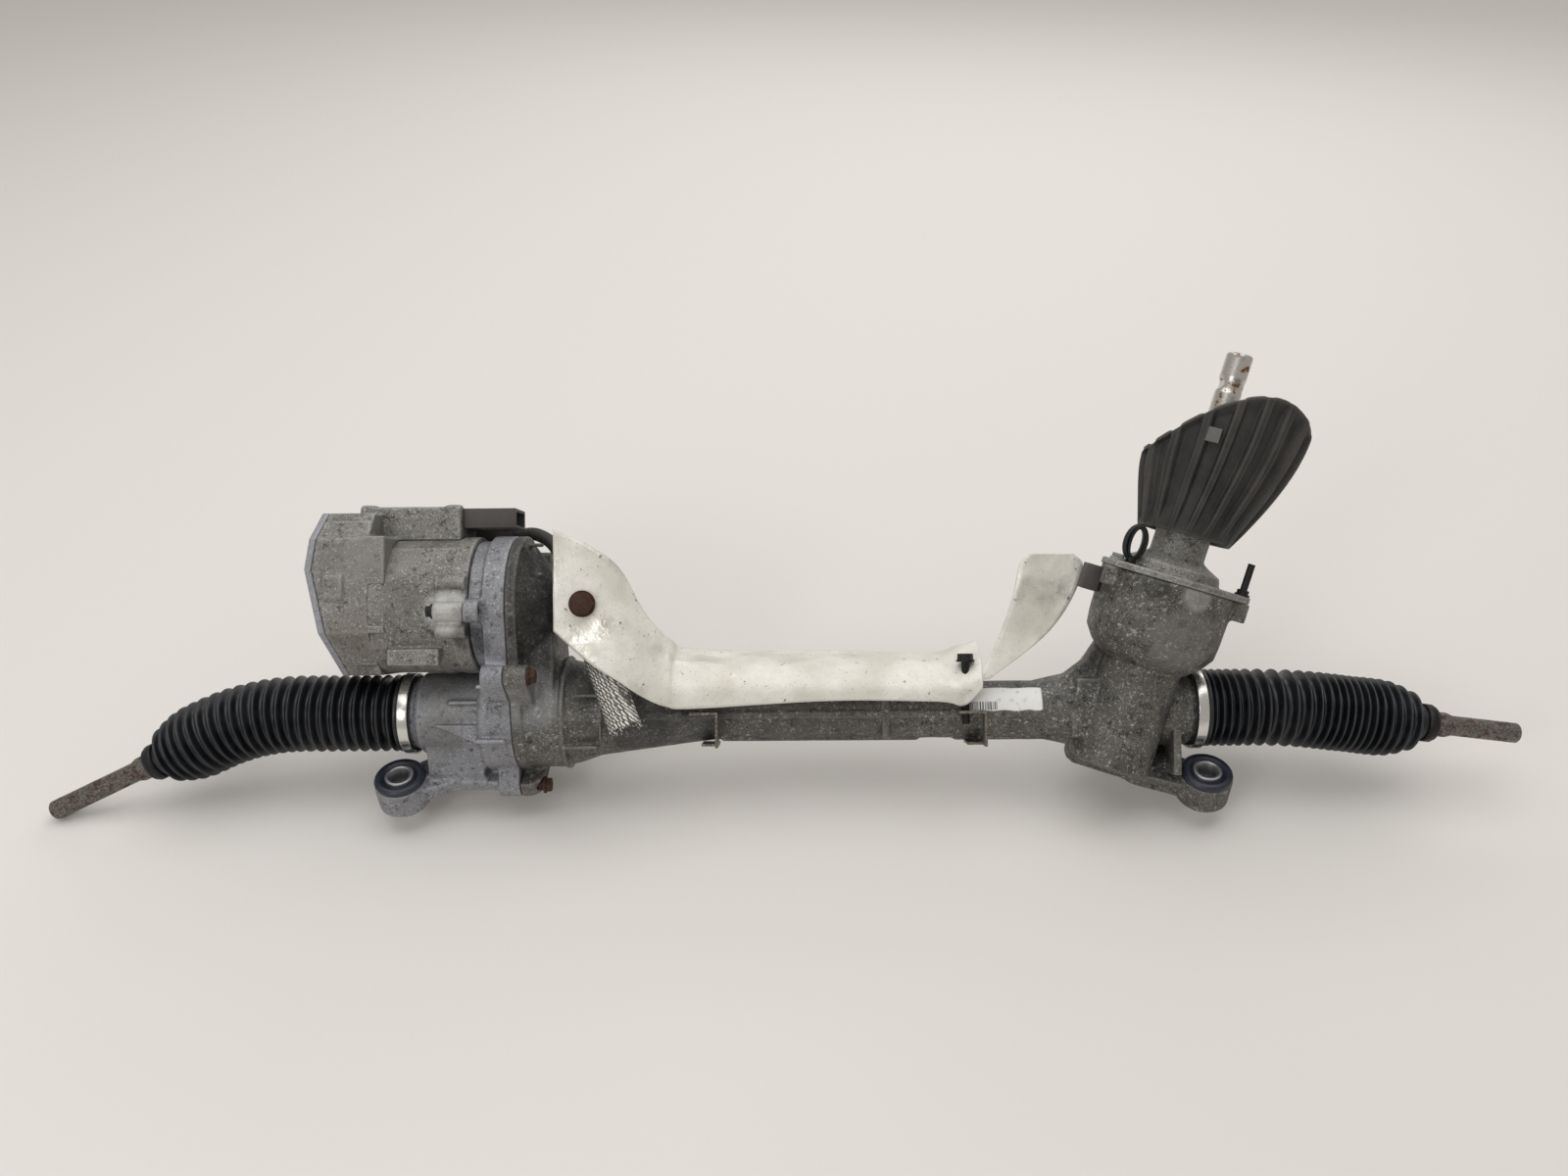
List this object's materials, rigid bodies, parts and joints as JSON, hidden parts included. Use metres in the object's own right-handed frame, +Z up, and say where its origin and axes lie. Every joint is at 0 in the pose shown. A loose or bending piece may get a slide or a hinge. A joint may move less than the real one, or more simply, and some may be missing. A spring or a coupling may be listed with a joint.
{
  "type": "steering rack",
  "caption": "Electric power steering rack: belt-driven ball nut and motor, rack and pinion, torque sensor, bellows boots, inner tie rods, heat shield and rubber-bushed mounts",
  "frame": {"origin": "midway between the two mounting bushes, on the plane of the subframe that their sleeves stand on", "axes": "+Z up along the mounting bolts, +X along the rack from the motor end to the pinion end, +Y from the mounts to the rack"},
  "size_m": [1.1283, 0.1954, 0.3071],
  "materials": {
    "cast_aluminium": "as cast, weathered",
    "steel": "machined, oiled",
    "rusty_steel": "forged, rusted",
    "zinc_steel": "zinc plated",
    "rubber": "moulded",
    "black_plastic": "moulded, filled nylon",
    "natural_plastic": "moulded, acetal",
    "brown_plastic": "moulded, dusty",
    "shield_sheet": "pressed sheet",
    "foil": "woven foil sleeve",
    "copper_stack": "wound laminations",
    "motor_paint": "cast, bare"
  },
  "bodies": {
    "housing": {"bearing_ring": "steel", "bell_cover": "brown_plastic", "boot_clamp_left": "zinc_steel", "boot_clamp_right": "zinc_steel", "boot_left": "rubber", "boot_right": "rubber", "bottom_cap": "zinc_steel", "bracket_left": "zinc_steel", "bracket_right": "zinc_steel", "cable_clip": "zinc_steel", "cover_screws": "zinc_steel", "drive_belt": "rubber", "ecu_cover": "cast_aluminium", "ecu_housing": "cast_aluminium", "end_housing": "cast_aluminium", "flange_stud": "zinc_steel", "harness_conduit": "black_plastic", "heat_shield": "shield_sheet", "heat_sleeve": "foil", "housing_bolts": "rusty_steel", "motor_bolts": "zinc_steel", "motor_housing": "motor_paint", "mount_bush_left": "rubber", "mount_bush_right": "rubber", "mount_sleeve_left": "rusty_steel", "mount_sleeve_right": "rusty_steel", "nut_bearing": "steel", "pinion_low_bearing": "steel", "pinion_top_bearing": "steel", "power_connector": "black_plastic", "rack_bush": "natural_plastic", "rack_housing": "cast_aluminium", "sensor_connector": "black_plastic", "sensor_cover": "cast_aluminium", "shaft_seal": "rubber", "shield_bolt": "rusty_steel", "shield_screw": "zinc_steel", "signal_plug": "black_plastic", "stator": "copper_stack", "torque_sensor": "black_plastic", "yoke": "cast_aluminium", "yoke_plug": "zinc_steel", "yoke_spring": "steel"},
    "rack": {"rack_bar": "steel", "ball_housing_left": "steel", "ball_housing_right": "steel"},
    "nut": {"ball_nut": "steel", "nut_pulley": "steel"},
    "rotor": {"motor_shaft": "steel", "motor_pulley": "steel"},
    "pinion": {"pinion": "steel", "pinion_nut": "zinc_steel", "torsion_bar": "steel"},
    "column": {"input_shaft": "steel"},
    "seat_left": {"ball_seat_left": "natural_plastic"},
    "seat_right": {"ball_seat_right": "natural_plastic"},
    "rod_left": {"tie_rod_left": "rusty_steel", "boot_clip_left": "zinc_steel"},
    "rod_right": {"tie_rod_right": "rusty_steel", "boot_clip_right": "zinc_steel"}
  },
  "joints": [
    {"name": "motor_spin", "type": "hinge", "parent": "housing", "child": "rotor", "pos_m": [-0.23, 0.08265, 0.12564], "axis": [1, 0, 0], "range_deg": [-6738.92, 13832.51]},
    {"name": "rack_slide", "type": "slide", "parent": "housing", "child": "rack", "axis": [1, 0, 0], "range_m": [-0.0476, 0.0976], "deforming": ["boot_left", "boot_right"]},
    {"name": "nut_spin", "type": "hinge", "parent": "housing", "child": "nut", "pos_m": [-0.2, 0.041, 0.054], "axis": [1, 0, 0], "range_deg": [-2443.86, 5015.29]},
    {"name": "pinion_spin", "type": "hinge", "parent": "housing", "child": "pinion", "pos_m": [0.2435, 0.02738, 0.06251], "axis": [0.289, 0.5073, 0.8119], "range_deg": [-704.17, 343.31]},
    {"name": "column_twist", "type": "hinge", "parent": "pinion", "child": "column", "pos_m": [0.28685, 0.10348, 0.18429], "axis": [0.289, 0.5073, 0.8119], "range_deg": [-4.5, 4.5], "stiffness_Nm_per_rad": 115},
    {"name": "seat_left_swing", "type": "hinge", "parent": "rack", "child": "seat_left", "pos_m": [-0.4185, 0.041, 0.054], "axis": [0, -0.848, 0.5299], "range_deg": [-50, 3]},
    {"name": "rod_left_swing", "type": "hinge", "parent": "seat_left", "child": "rod_left", "pos_m": [-0.4185, 0.041, 0.054], "axis": [-0.4226, 0.4803, 0.7686], "range_deg": [-20, 20]},
    {"name": "seat_right_swing", "type": "hinge", "parent": "rack", "child": "seat_right", "pos_m": [0.3685, 0.041, 0.054], "axis": [0, -0.848, 0.5299], "range_deg": [-18, 32]},
    {"name": "rod_right_swing", "type": "hinge", "parent": "seat_right", "child": "rod_right", "pos_m": [0.3685, 0.041, 0.054], "axis": [-0.1219, -0.526, -0.8417], "range_deg": [-20, 20]}
  ],
  "couplings": [
    {"joint": "motor_spin", "follows": "rack_slide", "rad_per_m": 2476.1},
    {"joint": "nut_spin", "follows": "rack_slide", "rad_per_m": 897.6},
    {"joint": "pinion_spin", "follows": "rack_slide", "rad_per_m": -125.96}
  ]
}
